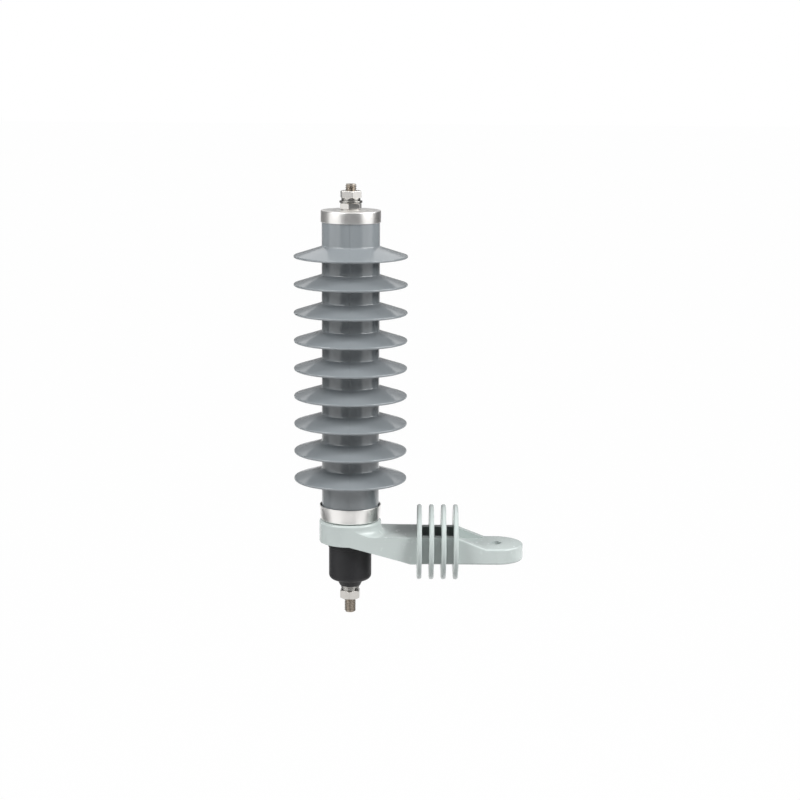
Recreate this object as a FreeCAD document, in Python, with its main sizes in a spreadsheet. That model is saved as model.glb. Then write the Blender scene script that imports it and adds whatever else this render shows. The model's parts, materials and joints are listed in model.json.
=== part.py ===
"""Polymer-housed distribution surge arrester on its insulating bracket.

The origin is the centre of the bracket's mounting hole, on the underside of the end plate.
+Z points up along the arrester and the arrester stands at X = -arm_reach. Millimetres.
"""

import FreeCAD, Part
import math
import os

import Sketcher

Vector = FreeCAD.Vector

DIMENSIONS = {
    # M10 studs and their fasteners
    "stud_diameter": 10,
    "stud_chamfer": 1,
    "thread_gap": 0.1,  # radial room between a stud and what is screwed on it
    "nut_across_flats": 17,
    "nut_face_inset": 0.35,  # from the flats to where the turned chamfer starts
    "nut_chamfer_angle": 30,
    "washer_gap": 0.3,  # radial room between a stud and its washers
    "split_width": 1.4,  # slot of a spring washer
    "split_lean": 1,
    "stud_grip": 16,  # depth of a stud in an electrode
    # line terminal
    "lock_nut_height": 5.8,
    "lock_nut_turn": 22.4,
    "top_washer_diameter": 20,
    "top_washer_thickness": 1.8,
    "top_spring_diameter": 16.6,
    "top_spring_thickness": 2,
    "top_spring_turn": 0,
    "clamp_nut_height": 6.7,
    "clamp_nut_turn": 38,
    "top_stud_tip": 5.8,  # stands out of the clamp nut
    # end caps, drawn from sheet
    "cap_wall": 0.8,
    "cap_gap": 0.1,  # radial room between the housing and a cap
    "top_cap_height": 10.3,
    "top_cap_corner": 1.8,
    "pad_diameter": 20,  # raised seat of the lock nut
    "pad_height": 0.6,
    "pin_hole_diameter": 4,
    "pin_hole_spacing": 27,
    "bottom_cap_height": 13.2,
    "bottom_cap_corner": 1.4,
    "bottom_cap_flare": 1.1,
    # housing
    "core_diameter": 50.6,
    "shed_diameter": 100,
    "shed_count": 9,
    "shed_rim": 2,  # thickness at the edge
    "shed_bevel": 0.6,
    "shed_fall": 7.9,  # drop of the upper face from core to edge
    "shed_undercut": 3,  # rise of the lower face from edge to core
    "shed_root": 1.8,  # height of the thickening where a shed leaves the core
    "lower_margin": 34.2,  # from the housing's lower end to the lowest edge
    "upper_margin": 37.6,
    "seal_thickness": 2,
    "seal_inset": 1,
    # column inside
    "rubber_wall": 4.2,  # of the housing's core, round the tube
    "bond_gap": 0.1,  # radial room between fitted cylinders
    "tube_wall": 3.5,
    "electrode_height": 30.5,
    "electrode_head": 8,
    "electrode_groove": 1.5,  # depth of the bonding groove; its flanks lie at 45 degrees
    "electrode_groove_height": 5,
    "tap_runout": 3,  # bore left beyond the end of a stud
    "block_gap": 0.5,  # radial room between the tube and the blocks
    "block_height": 24,
    "block_chamfer": 0.8,
    "block_count": 8,
    "contact_inset": 0.5,  # from a block's side to a contact disc's
    "contact_thickness": 1.5,
    "disc_spring_bore": 16,
    "disc_spring_height": 2.25,  # pressed down to this
    "disc_spring_plate": 1.4,
    "disc_spring_count": 3,
    # bracket
    "arm_reach": 130,
    "arm_width": 49,
    "arm_top": 24.1,
    "plate_thickness": 13.9,
    "mount_hole": 11,
    "collar_diameter": 55.4,
    "collar_base": 15.8,
    "collar_height": 20,
    "collar_top_radius": 2,
    "cap_seat_diameter": 48,  # raised ring under the lower cap
    "cap_seat_height": 0.8,
    "throat_radius": 7,  # between the collar and the top of the arm
    "neck_length": 45,  # from the collar's axis to where the sides run parallel
    "belly_length": 54,  # from the collar's axis to where the flat underside starts
    "ramp_start": 95,  # from the collar's axis to where the rails start to fall
    "ramp_end": 121,
    "trough_width": 31,
    "edge_radius": 1.5,  # along the arm's outline
    "link_hole": 11,
    "recess_depth": 2.5,
    "recess_gap": 0.3,
    "fin_count": 4,
    "fin_first": 61.7,  # from the collar's axis
    "fin_pitch": 10.8,
    "fin_diameter": 67,
    "fin_centre": 14.5,
    "fin_parting": 12.4,  # height of the mould's parting plane
    "fin_root": 4.4,  # thickness at the parting plane
    "fin_tip": 3,  # thickness at top and bottom
    "fin_land": 2.2,  # width of the rim between its two bevels
    # disconnector
    "housing_diameter": 38,
    "rim_step": 0.6,
    "rim_height": 8,
    "housing_wall": 3.5,
    "housing_floor": 5.6,
    "housing_corner": 4.5,
    "shoulder_fall": 2.3,
    "neck_top": 23,
    "neck_bottom": 18.4,
    "neck_height": 4.6,
    "link_grip": 10,  # depth of the link stud in the terminal
    "terminal_height": 12,
    "resistor_height": 14.6,
    "resistor_bore": 10,
    "cartridge_gap": 0.2,
    "earth_head_height": 7,
    "earth_head_gap": 1,
    "earth_washer_diameter": 17,
    "earth_washer_thickness": 1.7,
    "earth_spring_diameter": 16.2,
    "earth_spring_thickness": 2.5,
    "earth_spring_turn": -50,  # where its split lies
    "earth_nut_height": 8,
    "earth_nut_turn": 26.2,
    "earth_stud_tip": 12.9,  # stands out of the earth nut
}

doc = FreeCAD.newDocument("SurgeArrester")

sheet = doc.addObject("Spreadsheet::Sheet", "Sizes")
for row, (name, number) in enumerate(DIMENSIONS.items(), start=1):
    sheet.set(f"A{row}", name)
    sheet.set(f"B{row}", str(number))
    sheet.setAlias(f"B{row}", name)
doc.recompute()

subparts = []


def size(expression):
    """The number that an expression of the sheet's sizes gives."""
    return sheet.evalExpression(str(expression))


# Helpers -----------------------------------------------------------------------------


def sub_part(label, z="0", x="-Sizes.arm_reach", turn="0"):
    """A body whose base stands at height z, turned about its own axis."""
    body = doc.addObject("PartDesign::Body", label)
    body.Label = label
    body.Placement.Rotation = FreeCAD.Rotation(Vector(0, 0, 1), size(turn))
    body.setExpression(".Placement.Base.x", x)
    body.setExpression(".Placement.Base.z", z)
    subparts.append(body)
    return body


def sketch_on(body, role="XZ_Plane"):
    sketch = body.newObject("Sketcher::SketchObject", f"{body.Name}_sketch")
    plane = next(item for item in body.Origin.OriginFeatures if item.Role == role)
    sketch.AttachmentSupport = (plane, [""])
    sketch.MapMode = "FlatFace"
    return sketch


def bind(sketch, kind, *where, to):
    """Adds a dimension and ties it to an expression."""
    index = sketch.addConstraint(Sketcher.Constraint(kind, *where, size(to)))
    sketch.setExpression(f"Constraints[{index}]", to)


def place_point(sketch, geometry, point, x, y):
    """Puts a point of the sketch at x, y from its origin."""
    if x == "0":
        sketch.addConstraint(Sketcher.Constraint("PointOnObject", geometry, point, -2))
    else:
        bind(sketch, "DistanceX", -1, 1, geometry, point, to=x)
    if y == "0":
        sketch.addConstraint(Sketcher.Constraint("PointOnObject", geometry, point, -1))
    else:
        bind(sketch, "DistanceY", -1, 1, geometry, point, to=y)


def draw_outline(sketch, corners, rounds=None):
    """A closed outline; each corner is a pair of expressions.

    rounds maps a corner's number to the radius of the arc that rounds it. The corner itself
    stays as a point, which the sides still aim at.
    """
    rounds = rounds or {}
    points = [Vector(size(x), size(y), 0) for x, y in corners]
    count = len(points)
    starts = list(points)
    ends = points[1:] + points[:1]
    arcs = {}
    for corner, radius in rounds.items():
        here = points[corner]
        back = (points[corner - 1] - here).normalize()
        ahead = (points[(corner + 1) % count] - here).normalize()
        half = back.getAngle(ahead) / 2
        run = size(radius) / math.tan(half)
        inward = (back + ahead).normalize()
        nearest = here + inward * (size(radius) / math.sin(half) - size(radius))
        ends[corner - 1] = here + back * run
        starts[corner] = here + ahead * run
        turns_left = back.cross(ahead).z < 0
        arcs[corner] = (Part.Arc(ends[corner - 1], nearest, starts[corner]), turns_left)
    lines = [Part.LineSegment(start, end) for start, end in zip(starts, ends)]
    sides = sketch.addGeometry(lines, False)
    for corner, (x, y) in enumerate(corners):
        before, after = sides[corner - 1], sides[corner]
        if corner not in rounds:
            sketch.addConstraint(Sketcher.Constraint("Coincident", before, 2, after, 1))
            place_point(sketch, after, 1, x, y)
            continue
        curve, turns_left = arcs[corner]
        arc = sketch.addGeometry(curve, False)
        first, last = (1, 2) if turns_left else (2, 1)
        sketch.addConstraint(Sketcher.Constraint("Tangent", before, 2, arc, first))
        sketch.addConstraint(Sketcher.Constraint("Tangent", arc, last, after, 1))
        bind(sketch, "Radius", arc, to=rounds[corner])
        aim = sketch.addGeometry(Part.Point(points[corner]), True)
        sketch.addConstraint(Sketcher.Constraint("PointOnObject", aim, 1, before))
        sketch.addConstraint(Sketcher.Constraint("PointOnObject", aim, 1, after))
        place_point(sketch, aim, 1, x, y)


def draw_circle(sketch, diameter, x="0", y="0"):
    centre = Vector(size(x), size(y), 0)
    circle = sketch.addGeometry(Part.Circle(centre, Vector(0, 0, 1), size(diameter) / 2), False)
    place_point(sketch, circle, 3, x, y)
    bind(sketch, "Diameter", circle, to=diameter)


def turned(body, corners, rounds=None, kind="PartDesign::Revolution"):
    """Turns an outline of (radius, height) corners about the body's own axis."""
    sketch = sketch_on(body)
    draw_outline(sketch, corners, rounds)
    feature = body.newObject(kind, f"{body.Name}_turned")
    feature.Profile = sketch
    feature.ReferenceAxis = (sketch, ["V_Axis"])
    feature.Angle = 360
    doc.recompute()
    return feature


def extruded(body, sketch, length, kind="PartDesign::Pad", side="One side", flip=False):
    feature = body.newObject(kind, f"{body.Name}_extruded")
    feature.Profile = sketch
    feature.SideType = side
    feature.Reversed = flip
    feature.setExpression("Length", length)
    doc.recompute()
    return feature


def edges_where(feature, test):
    """The edges whose ends and middle all pass a test of their place."""
    names = []
    for index, edge in enumerate(feature.Shape.Edges, start=1):
        middle = edge.valueAt((edge.FirstParameter + edge.LastParameter) / 2)
        points = [vertex.Point for vertex in edge.Vertexes] + [middle]
        if all(test(point) for point in points):
            names.append(f"Edge{index}")
    return names


def ring_edges(feature, radius, height, x="0"):
    """The edges on the circle of this radius and height round an upright axis at x."""
    centre = Vector(size(x), 0, size(height))

    def on_ring(point):
        arm = point - centre
        return abs(arm.z) < 1e-4 and abs(arm.Length - size(radius)) < 1e-4

    return edges_where(feature, on_ring)


def eased(body, edges, amount, kind="PartDesign::Fillet"):
    """Rounds or bevels edges of the body's last feature."""
    base = body.Tip
    feature = body.newObject(kind, f"{body.Name}_eased")
    feature.Base = (base, edges)
    feature.setExpression("Radius" if kind == "PartDesign::Fillet" else "Size", amount)
    doc.recompute()
    return feature


# Fasteners ---------------------------------------------------------------------------


def stud(label, z, length):
    """A plain rod with bevelled ends; its thread is too fine to model."""
    body = sub_part(label, z)
    radius = "Sizes.stud_diameter / 2"
    turned(body, [("0", "0"), (radius, "0"), (radius, length), ("0", length)])
    ends = ring_edges(body.Tip, radius, "0") + ring_edges(body.Tip, radius, length)
    eased(body, ends, "Sizes.stud_chamfer", "PartDesign::Chamfer")
    return body


def nut(label, z, height, turn):
    """A hexagon whose corners are turned off at both ends, bored for the stud."""
    body = sub_part(label, z, turn=turn)
    prism = body.newObject("PartDesign::AdditivePrism", f"{label}_hexagon")
    prism.Polygon = 6
    prism.setExpression("Circumradius", "Sizes.nut_across_flats / sqrt(3)")
    prism.setExpression("Height", height)
    doc.recompute()
    inner = "(Sizes.nut_across_flats / 2 - Sizes.nut_face_inset)"
    outer = "Sizes.nut_across_flats"
    drop = f"({outer} - {inner}) * tan(Sizes.nut_chamfer_angle)"
    turned(body, [(inner, "0"), (outer, "0"), (outer, drop)], kind="PartDesign::Groove")
    top = [(inner, height), (outer, height), (outer, f"{height} - {drop}")]
    turned(body, top, kind="PartDesign::Groove")
    bore = sketch_on(body, "XY_Plane")
    draw_circle(bore, "Sizes.stud_diameter + 2 * Sizes.thread_gap")
    extruded(body, bore, height, "PartDesign::Pocket", flip=True)
    return body


def washer(label, z, diameter, thickness, turn="0"):
    body = sub_part(label, z, turn=turn)
    sketch = sketch_on(body, "XY_Plane")
    draw_circle(sketch, diameter)
    draw_circle(sketch, "Sizes.stud_diameter + 2 * Sizes.washer_gap")
    extruded(body, sketch, thickness)
    return body


def spring_washer(label, z, diameter, thickness, turn):
    """A washer with a leaning slot through one side, pressed flat."""
    body = washer(label, z, diameter, thickness, turn)
    slot = sketch_on(body, "YZ_Plane")
    half = "Sizes.split_width / 2"
    lean = "Sizes.split_lean / 2"
    corners = [
        (f"-{half} - {lean}", "0"),
        (f"{half} - {lean}", "0"),
        (f"{half} + {lean}", thickness),
        (f"-{half} + {lean}", thickness),
    ]
    draw_outline(slot, corners)
    extruded(body, slot, diameter, "PartDesign::Pocket", flip=True)
    return body


# Levels up the arrester, each worked out from the one below ----------------------------

collar_top = "Sizes.collar_base + Sizes.collar_height"
collar_rim = f"{collar_top} - Sizes.cap_seat_height"
cap_floor = f"{collar_top} + Sizes.cap_wall"
blocks_base = f"{cap_floor} + Sizes.electrode_height"
block_step = "(Sizes.block_height + Sizes.contact_thickness)"
springs_base = f"{blocks_base} + Sizes.block_count * {block_step} + Sizes.contact_thickness"
springs_top = f"{springs_base} + Sizes.disc_spring_count * Sizes.disc_spring_height"
cap_ceiling = f"{springs_top} + Sizes.electrode_height"
column_height = f"({cap_ceiling} - ({cap_floor}))"
top_cap_face = f"{cap_ceiling} + Sizes.cap_wall"
lock_nut_base = f"{top_cap_face} + Sizes.pad_height"
top_washer_base = f"{lock_nut_base} + Sizes.lock_nut_height"
top_spring_base = f"{top_washer_base} + Sizes.top_washer_thickness"
clamp_nut_base = f"{top_spring_base} + Sizes.top_spring_thickness"
top_stud_base = f"{cap_ceiling} - Sizes.stud_grip"
top_stud_end = f"{clamp_nut_base} + Sizes.clamp_nut_height + Sizes.top_stud_tip"

# Levels down the disconnector, from its seat under the collar

seat = "Sizes.collar_base + Sizes.recess_depth"
cavity_depth = "(Sizes.terminal_height + Sizes.resistor_height + Sizes.earth_head_height)"
shoulder_depth = f"({cavity_depth} + Sizes.housing_floor)"
foot_depth = f"({shoulder_depth} + Sizes.neck_height)"
earth_washer_top = f"{seat} - {foot_depth}"
earth_washer_base = f"{earth_washer_top} - Sizes.earth_washer_thickness"
earth_spring_base = f"{earth_washer_base} - Sizes.earth_spring_thickness"
earth_nut_base = f"{earth_spring_base} - Sizes.earth_nut_height"

# Radii that more than one piece is made to

core_radius = "Sizes.core_diameter / 2"
cap_inner = f"({core_radius} + Sizes.cap_gap)"
cap_outer = f"({cap_inner} + Sizes.cap_wall)"
core_bore = f"({core_radius} - Sizes.rubber_wall)"
tube_radius = f"({core_bore} - Sizes.bond_gap)"
tube_bore = f"({tube_radius} - Sizes.tube_wall)"
block_radius = f"({tube_bore} - Sizes.block_gap)"
contact_radius = f"({block_radius} - Sizes.contact_inset)"
stud_clearance = "(Sizes.stud_diameter / 2 + Sizes.washer_gap)"
tapping = "(Sizes.stud_diameter / 2 + Sizes.thread_gap)"


# Line terminal -------------------------------------------------------------------------

stud("top_terminal_stud", top_stud_base, f"({top_stud_end} - ({top_stud_base}))")
nut("top_lock_nut", lock_nut_base, "Sizes.lock_nut_height", "Sizes.lock_nut_turn")
washer("top_flat_washer", top_washer_base, "Sizes.top_washer_diameter", "Sizes.top_washer_thickness")
spring_washer(
    "top_spring_washer",
    top_spring_base,
    "Sizes.top_spring_diameter",
    "Sizes.top_spring_thickness",
    "Sizes.top_spring_turn",
)
nut("top_clamp_nut", clamp_nut_base, "Sizes.clamp_nut_height", "Sizes.clamp_nut_turn")


# End caps ------------------------------------------------------------------------------


def top_end_cap():
    """A drawn cup, mouth down, with a raised seat for the lock nut and two pin holes."""
    body = sub_part("top_end_cap", cap_ceiling)
    skirt = "Sizes.cap_wall - Sizes.top_cap_height"
    pad = "Sizes.pad_diameter / 2"
    step = "Sizes.pad_height"
    inside = "(Sizes.top_cap_corner - Sizes.cap_wall)"
    outline = [
        (stud_clearance, step),
        (f"{pad} - {step}", step),
        (pad, "0"),
        (f"{cap_inner} - {inside}", "0"),
        (cap_inner, f"-{inside}"),
        (cap_inner, skirt),
        (cap_outer, skirt),
        (cap_outer, "Sizes.cap_wall"),
        (pad, "Sizes.cap_wall"),
        (f"{pad} - {step}", f"Sizes.cap_wall + {step}"),
        (stud_clearance, f"Sizes.cap_wall + {step}"),
    ]
    turned(body, outline, {7: "Sizes.top_cap_corner"})
    sketch = sketch_on(body, "XY_Plane")
    draw_circle(sketch, "Sizes.pin_hole_diameter", x="Sizes.pin_hole_spacing / 2")
    hole = extruded(body, sketch, "Sizes.cap_wall", "PartDesign::Pocket", flip=True)
    pair = body.newObject("PartDesign::PolarPattern", "pin_hole_pair")
    pair.Originals = [hole]
    pair.Axis = (sketch, ["N_Axis"])
    pair.Angle = 360
    pair.Occurrences = 2
    body.Tip = pair
    doc.recompute()


def bottom_end_cap():
    """A drawn cup, mouth up, whose wall flares to an open lip."""
    body = sub_part("bottom_end_cap", collar_top)
    lip_inner = f"{cap_inner} + Sizes.bottom_cap_flare"
    lip_outer = f"{cap_outer} + Sizes.bottom_cap_flare"
    inside = "(Sizes.bottom_cap_corner - Sizes.cap_wall)"
    outline = [
        (stud_clearance, "0"),
        (cap_outer, "0"),
        (lip_outer, "Sizes.bottom_cap_height"),
        (lip_inner, "Sizes.bottom_cap_height"),
        (cap_inner, f"Sizes.cap_wall + {inside}"),
        (f"{cap_inner} - {inside}", "Sizes.cap_wall"),
        (stud_clearance, "Sizes.cap_wall"),
    ]
    turned(body, outline, {1: "Sizes.bottom_cap_corner"})


top_end_cap()
bottom_end_cap()


# Housing -------------------------------------------------------------------------------


def shed_housing():
    """Rubber moulded round the tube: a plain core and sheds spread evenly between its margins."""
    body = sub_part("shed_housing", f"{cap_floor} + Sizes.seal_thickness")
    length = f"({column_height} - 2 * Sizes.seal_thickness)"
    core = [(core_bore, "0"), (core_radius, "0"), (core_radius, length), (core_bore, length)]
    turned(body, core)
    inside = f"({core_bore} + {core_radius}) / 2"
    edge = "Sizes.shed_diameter / 2"
    low = "Sizes.lower_margin"
    half = "Sizes.shed_rim / 2"
    bevel = "Sizes.shed_bevel"
    root = "Sizes.shed_root"
    upper = f"{low} + {half} + Sizes.shed_fall"
    slope = f"Sizes.shed_fall / ({edge} - {core_radius})"
    outline = [
        (inside, f"{upper} + {root}"),
        (core_radius, f"{upper} + {root}"),
        (f"{core_radius} + {root}", f"{upper} - {root} * {slope}"),
        (f"{edge} - {bevel}", f"{low} + {half} + {bevel} * {slope}"),
        (edge, f"{low} + {half} - {bevel}"),
        (edge, f"{low} - {half} + {bevel}"),
        (f"{edge} - {bevel}", f"{low} - {half}"),
        (core_radius, f"{low} - {half} + Sizes.shed_undercut"),
        (inside, f"{low} - {half} + Sizes.shed_undercut"),
    ]
    shed = turned(body, outline)
    sheds = body.newObject("PartDesign::LinearPattern", "sheds")
    sheds.Originals = [shed]
    sheds.Direction = (shed.Profile[0], ["V_Axis"])
    sheds.setExpression("Length", f"{length} - Sizes.lower_margin - Sizes.upper_margin")
    sheds.setExpression("Occurrences", "Sizes.shed_count")
    body.Tip = sheds
    doc.recompute()


shed_housing()


# Column inside the housing -------------------------------------------------------------


def electrode(label, z, mouth, register):
    """An aluminium end: head, grooved spigot inside the tube and a tapped hole of its stud.

    mouth is 1 where the head faces up and -1 where it faces down; register is the height
    of the boss that centres the cap.
    """
    body = sub_part(label, z)
    spigot = f"({tube_bore} - Sizes.bond_gap)"
    groove = f"({spigot} - Sizes.electrode_groove)"
    up = f"{mouth} *"
    height = "Sizes.electrode_height"
    neck = f"({height} - Sizes.electrode_head)"
    boss = "(Sizes.pad_diameter / 2 - Sizes.pad_height - Sizes.bond_gap)"
    tap_bottom = f"({height} - Sizes.stud_grip - Sizes.tap_runout)"
    reach = "Sizes.electrode_groove_height / 2"
    outline = [
        ("0", "0"),
        (spigot, "0"),
        (spigot, f"{up} ({neck} / 2 - {reach} - Sizes.electrode_groove)"),
        (groove, f"{up} ({neck} / 2 - {reach})"),
        (groove, f"{up} ({neck} / 2 + {reach})"),
        (spigot, f"{up} ({neck} / 2 + {reach} + Sizes.electrode_groove)"),
        (spigot, f"{up} {neck}"),
        (tube_radius, f"{up} {neck}"),
        (tube_radius, f"{up} {height}"),
    ]
    if register:
        outline += [(boss, f"{up} {height}"), (boss, f"{up} ({height} + {register})")]
        outline += [(tapping, f"{up} ({height} + {register})")]
    else:
        outline += [(tapping, f"{up} {height}")]
    outline += [(tapping, f"{up} {tap_bottom}"), ("0", f"{up} {tap_bottom}")]
    turned(body, outline)


electrode("top_electrode", springs_top, 1, "Sizes.pad_height")
electrode("bottom_electrode", blocks_base, -1, None)


def plain_ring(label, z, outer, height, inner=None):
    """A disc, or a ring where inner is given."""
    body = sub_part(label, z)
    sketch = sketch_on(body, "XY_Plane")
    draw_circle(sketch, outer)
    if inner:
        draw_circle(sketch, inner)
    extruded(body, sketch, height)
    return body


plain_ring(
    "fibreglass_tube",
    f"{cap_floor} + Sizes.electrode_head",
    f"2 * {tube_radius}",
    f"{column_height} - 2 * Sizes.electrode_head",
    f"2 * {tube_bore}",
)

for place, level in (
    ("bottom", cap_floor),
    ("top", f"{cap_ceiling} - Sizes.seal_thickness"),
):
    plain_ring(
        f"{place}_seal_ring",
        level,
        "Sizes.core_diameter - 2 * Sizes.seal_inset",
        "Sizes.seal_thickness",
        f"2 * {core_bore}",
    )

block_count = int(size("Sizes.block_count"))
for index in range(block_count + 1):
    plain_ring(
        f"contact_disc_{index + 1}",
        f"{blocks_base} + {index} * {block_step}",
        f"2 * {contact_radius}",
        "Sizes.contact_thickness",
    )

for index in range(block_count):
    block = plain_ring(
        f"varistor_block_{index + 1}",
        f"{blocks_base} + {index} * {block_step} + Sizes.contact_thickness",
        f"2 * {block_radius}",
        "Sizes.block_height",
    )
    rims = ring_edges(block.Tip, block_radius, "0")
    rims += ring_edges(block.Tip, block_radius, "Sizes.block_height")
    eased(block, rims, "Sizes.block_chamfer", "PartDesign::Chamfer")


def disc_spring(label, z, cone_up):
    """A conical spring washer; every other one in the pile is turned over."""
    body = sub_part(label, z)
    inner = "Sizes.disc_spring_bore / 2"
    plate = "Sizes.disc_spring_plate"
    height = "Sizes.disc_spring_height"
    if cone_up:
        outline = [(inner, f"{height} - {plate}"), (contact_radius, "0")]
        outline += [(contact_radius, plate), (inner, height)]
    else:
        outline = [(inner, "0"), (contact_radius, f"{height} - {plate}")]
        outline += [(contact_radius, height), (inner, plate)]
    turned(body, outline)


for index in range(int(size("Sizes.disc_spring_count"))):
    level = f"{springs_base} + {index} * Sizes.disc_spring_height"
    disc_spring(f"disc_spring_{index + 1}", level, index % 2 == 0)


# Bracket -------------------------------------------------------------------------------


def from_collar(distance):
    """X of a point this far along the arm from the collar's axis."""
    return f"({distance} - Sizes.arm_reach)"


def fin_set():
    """Round fins with bevelled rims, drafted both ways from the mould's parting plane."""
    body = doc.addObject("PartDesign::Body", "fin_set")
    radius = "Sizes.fin_diameter / 2"
    middle = from_collar("Sizes.fin_first")
    root = "Sizes.fin_root / 2"
    land = "Sizes.fin_land / 2"
    bevel = f"({root} - {land})"
    disc_sketch = sketch_on(body)
    disc_sketch.setExpression(".AttachmentOffset.Base.y", "Sizes.fin_centre")
    outline = [
        (f"{middle} - {root}", "0"),
        (f"{middle} + {root}", "0"),
        (f"{middle} + {root}", f"{radius} - {bevel}"),
        (f"{middle} + {land}", radius),
        (f"{middle} - {land}", radius),
        (f"{middle} - {root}", f"{radius} - {bevel}"),
    ]
    draw_outline(disc_sketch, outline)
    disc = body.newObject("PartDesign::Revolution", "fin_disc")
    disc.Profile = disc_sketch
    disc.ReferenceAxis = (disc_sketch, ["H_Axis"])
    disc.Angle = 360
    doc.recompute()

    draft_sketch = sketch_on(body)
    tip = "Sizes.fin_tip / 2"
    lean = f"({root} - {tip}) / {radius}"
    for way in ("", "-"):
        for level in (f"Sizes.fin_centre + {radius}", f"Sizes.fin_centre - {radius}"):
            run = f"abs({level} - Sizes.fin_parting)"
            wedge = [
                (f"{middle} + {way}{root}", "Sizes.fin_parting"),
                (f"{middle} + {way}Sizes.fin_root", "Sizes.fin_parting"),
                (f"{middle} + {way}Sizes.fin_root", level),
                (f"{middle} + {way}({root} - {run} * {lean})", level),
            ]
            draw_outline(draft_sketch, wedge)
    draft = extruded(body, draft_sketch, "Sizes.fin_diameter", "PartDesign::Pocket", "Symmetric")

    row = body.newObject("PartDesign::LinearPattern", "fin_row")
    row.Originals = [disc, draft]
    row.Direction = (draft_sketch, ["H_Axis"])
    row.Mode = "Spacing"
    row.setExpression("Offset", "Sizes.fin_pitch")
    row.setExpression("Occurrences", "Sizes.fin_count")
    body.Tip = row
    doc.recompute()
    return body


def bracket_plan(sketch):
    """Plan of the moulding: round collar, tapering neck, parallel arm and round end."""
    axis = size("-Sizes.arm_reach")
    collar = size("Sizes.collar_diameter / 2")
    half = size("Sizes.arm_width / 2")
    neck = size(from_collar("Sizes.neck_length"))
    corners = {
        "collar left": Vector(axis, collar, 0),
        "collar right": Vector(axis, -collar, 0),
        "neck left": Vector(neck, half, 0),
        "neck right": Vector(neck, -half, 0),
        "end left": Vector(0, half, 0),
        "end right": Vector(0, -half, 0),
    }
    back, right_neck, right_side, front, left_side, left_neck = sketch.addGeometry(
        [
            Part.Arc(corners["collar left"], Vector(axis - collar, 0, 0), corners["collar right"]),
            Part.LineSegment(corners["collar right"], corners["neck right"]),
            Part.LineSegment(corners["neck right"], corners["end right"]),
            Part.Arc(corners["end right"], Vector(half, 0, 0), corners["end left"]),
            Part.LineSegment(corners["end left"], corners["neck left"]),
            Part.LineSegment(corners["neck left"], corners["collar left"]),
        ],
        False,
    )
    for kind, one, other in (
        ("Tangent", back, right_neck),
        ("Coincident", right_neck, right_side),
        ("Tangent", right_side, front),
        ("Tangent", front, left_side),
        ("Coincident", left_side, left_neck),
        ("Tangent", left_neck, back),
    ):
        sketch.addConstraint(Sketcher.Constraint(kind, one, 2, other, 1))
    sketch.addConstraint(Sketcher.Constraint("Horizontal", right_side))
    sketch.addConstraint(Sketcher.Constraint("Horizontal", left_side))
    sketch.addConstraint(Sketcher.Constraint("Coincident", front, 3, -1, 1))
    place_point(sketch, back, 3, "-Sizes.arm_reach", "0")
    bind(sketch, "Diameter", back, to="Sizes.collar_diameter")
    bind(sketch, "Diameter", front, to="Sizes.arm_width")
    bind(sketch, "DistanceX", -1, 1, right_side, 1, to=from_collar("Sizes.neck_length"))
    bind(sketch, "DistanceX", -1, 1, left_side, 2, to=from_collar("Sizes.neck_length"))


def outline_edges(feature, lowest, highest):
    """The edges along the arm's outline between two heights."""
    half = size("Sizes.arm_width / 2")

    def on_outline(point):
        across = math.hypot(max(point.x, 0), point.y)
        level = size(lowest) - 1e-4 < point.z < size(highest) + 1e-4
        return level and across > half - 1e-4

    return edges_where(feature, on_outline)


def trim_to_plan(body):
    """Cut away what lies outside the bracket's plan."""
    axis = "-Sizes.arm_reach"
    margin = "2 * Sizes.collar_diameter"
    plan = sketch_on(body, "XY_Plane")
    bracket_plan(plan)
    outline = [
        (f"{axis} - {margin}", f"-{margin}"),
        (margin, f"-{margin}"),
        (margin, margin),
        (f"{axis} - {margin}", margin),
    ]
    draw_outline(plan, outline)
    extruded(body, plan, collar_top, "PartDesign::Pocket", flip=True)


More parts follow.
